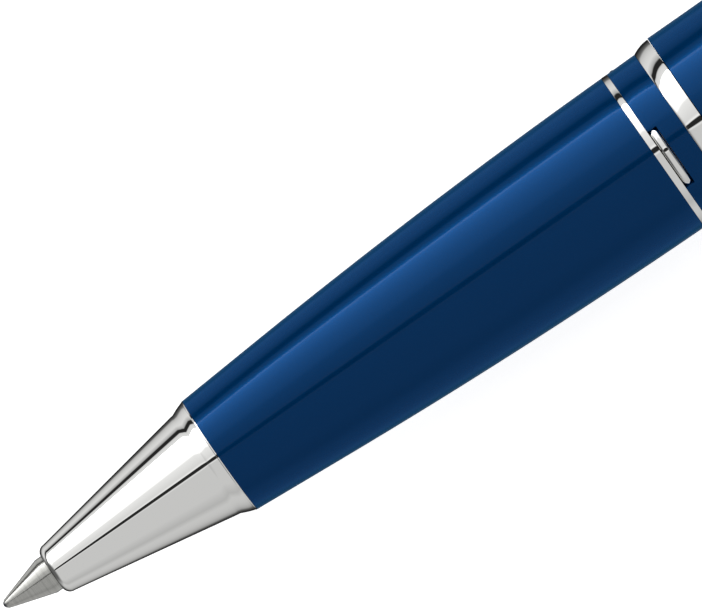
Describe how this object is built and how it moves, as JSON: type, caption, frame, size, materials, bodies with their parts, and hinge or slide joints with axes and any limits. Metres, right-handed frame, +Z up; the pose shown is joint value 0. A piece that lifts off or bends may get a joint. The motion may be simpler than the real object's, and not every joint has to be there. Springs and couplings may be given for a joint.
{
  "type": "rollerball pen",
  "caption": "Cigar-shaped rollerball pen in blue lacquer and chrome, with a refill on a spring, a screwed barrel and a snap cap with a sprung clip, posted on the tail.",
  "frame": {"origin": "bottom centre of the pen's box, on the surface it lies on", "axes": "+X along the pen's axis from the writing ball to the cap's finial, +Y to the left of that, +Z up; the axis lies 7.10 mm up and 0.89 mm to +Y"},
  "size_m": [0.1506, 0.016, 0.0142],
  "materials": {
    "chrome_plate": "polished chromium plating",
    "blue_lacquer": "deep blue gloss lacquer over resin",
    "brass": "turned brass",
    "spring_steel": "drawn spring wire and strip",
    "seal_rubber": "moulded, satin",
    "turned_steel": "fine turning marks",
    "refill_plastic": "moulded",
    "refill_metal": "drawn, satin",
    "ink_fibre": "ink-soaked fibre",
    "carbide": "ground, inked",
    "seat_plastic": "moulded",
    "inner_cap_plastic": "moulded"
  },
  "bodies": {
    "section": {"nose_cone": "chrome_plate", "grip_shell": "blue_lacquer", "section_liner": "brass", "catch_ring": "chrome_plate", "section_collar": "blue_lacquer", "catch_spring": "spring_steel", "shoulder_ring": "chrome_plate", "barrel_seal": "seal_rubber"},
    "lug_1": {"catch_lug_1": "chrome_plate"},
    "lug_2": {"catch_lug_2": "chrome_plate"},
    "lug_3": {"catch_lug_3": "chrome_plate"},
    "refill": {"tip_socket": "turned_steel", "refill_collar": "refill_plastic", "refill_tube": "refill_metal", "ink_reservoir": "ink_fibre", "refill_end_plug": "refill_plastic"},
    "writing_ball": {"tip_ball": "carbide"},
    "spring": {"refill_spring": "spring_steel"},
    "seat": {"spring_seat": "seat_plastic"},
    "barrel": {"barrel_shell": "blue_lacquer", "barrel_insert": "brass", "barrel_liner": "brass", "tail_plug": "brass", "tail_ring": "chrome_plate", "tail_stud": "turned_steel", "tail_cap": "blue_lacquer"},
    "cap": {"cap_mouth_ring": "chrome_plate", "cap_shell": "blue_lacquer", "cap_liner": "brass", "inner_cap": "inner_cap_plastic", "cap_top_ring": "chrome_plate", "cap_screw": "turned_steel", "cap_finial": "blue_lacquer", "cap_head": "chrome_plate", "clip_pin": "turned_steel", "clip_spring": "spring_steel"},
    "clip": {"clip": "chrome_plate"}
  },
  "joints": [
    {"name": "lug_press_1", "type": "slide", "parent": "section", "child": "lug_1", "axis": [0, 0.165, -0.9863], "range_m": [0, 0.00035], "stiffness_N_per_m": 2500, "springref_m": -0.0002, "deforming": ["catch_spring"]},
    {"name": "lug_press_2", "type": "slide", "parent": "section", "child": "lug_2", "axis": [0, 0.7716, 0.6361], "range_m": [0, 0.00035], "stiffness_N_per_m": 2500, "springref_m": -0.0002, "deforming": ["catch_spring"]},
    {"name": "lug_press_3", "type": "slide", "parent": "section", "child": "lug_3", "axis": [0, -0.9367, 0.3502], "range_m": [0, 0.00035], "stiffness_N_per_m": 2500, "springref_m": -0.0002, "deforming": ["catch_spring"]},
    {"name": "refill_cushion", "type": "slide", "parent": "section", "child": "refill", "axis": [1, 0, 0], "range_m": [0, 0.0005], "stiffness_N_per_m": 1500, "springref_m": -0.001, "deforming": ["refill_spring"]},
    {"name": "ball_roll", "type": "hinge", "parent": "refill", "child": "writing_ball", "pos_m": [-0.075, 0.00089, 0.0071], "axis": [0, 1, 0], "continuous": true},
    {"name": "barrel_pull", "type": "slide", "parent": "section", "child": "spring", "axis": [1, 0, 0], "range_m": [0, 0.06]},
    {"name": "barrel_advance", "type": "slide", "parent": "spring", "child": "seat", "axis": [1, 0, 0], "range_m": [0, 0.005]},
    {"name": "barrel_turn", "type": "hinge", "parent": "seat", "child": "barrel", "pos_m": [-0.01487, 0.00089, 0.0071], "axis": [1, 0, 0], "range_deg": [0, 1800]},
    {"name": "cap_pull", "type": "slide", "parent": "barrel", "child": "cap", "axis": [1, 0, 0], "range_m": [0, 0.042]},
    {"name": "clip_open", "type": "hinge", "parent": "cap", "child": "clip", "pos_m": [0.0691, -0.00263, 0.00463], "axis": [0, -0.5736, 0.8192], "range_deg": [0, 4], "stiffness_Nm_per_rad": 0.3, "springref_deg": -5.73, "deforming": ["clip_spring"]}
  ],
  "couplings": [
    {"joint": "barrel_turn", "follows": "barrel_advance", "rad_per_m": 6283.2}
  ]
}
